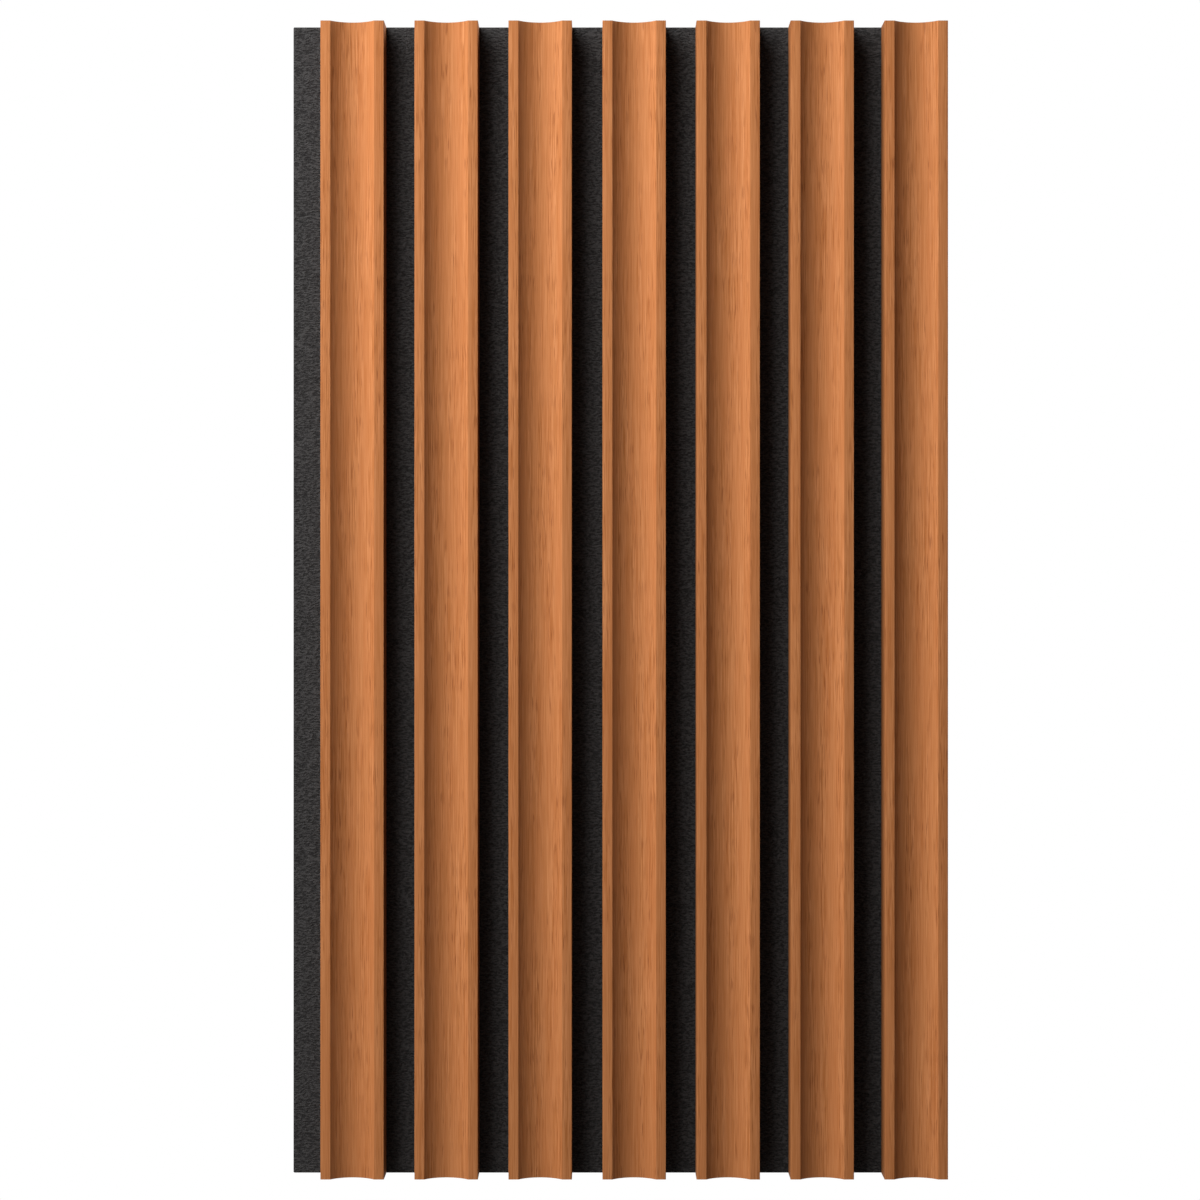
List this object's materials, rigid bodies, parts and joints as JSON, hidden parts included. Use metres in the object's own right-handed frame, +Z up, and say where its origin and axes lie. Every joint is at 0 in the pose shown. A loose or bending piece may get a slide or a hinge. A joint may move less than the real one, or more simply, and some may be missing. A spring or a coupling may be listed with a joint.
{
  "type": "acoustic slat wall panel",
  "caption": "Wall panel of upright wood-veneered slats with hollow fronts, stapled to a dark felt sheet that absorbs sound through the gaps.",
  "frame": {"origin": "middle of the felt's back face, which lies against the wall", "axes": "+Z up along the slats, +X to the right as seen from the room, +Y into the wall, so the slats face -Y"},
  "size_m": [0.28, 0.021, 0.493],
  "materials": {
    "felt": "black needle-punched polyester felt, matt",
    "fibreboard": "raw sawn fibreboard, seen at the slats' ends",
    "veneer": "warm brown wood veneer with fine straight pores, satin lacquer",
    "staple_steel": "galvanised wire"
  },
  "bodies": {
    "root": {"felt_backing": "felt", "slat_core_1": "fibreboard", "slat_core_2": "fibreboard", "slat_core_3": "fibreboard", "slat_core_4": "fibreboard", "slat_core_5": "fibreboard", "slat_core_6": "fibreboard", "slat_core_7": "fibreboard", "slat_veneer_1": "veneer", "slat_veneer_2": "veneer", "slat_veneer_3": "veneer", "slat_veneer_4": "veneer", "slat_veneer_5": "veneer", "slat_veneer_6": "veneer", "slat_veneer_7": "veneer", "staples": "staple_steel"}
  },
  "joints": []
}
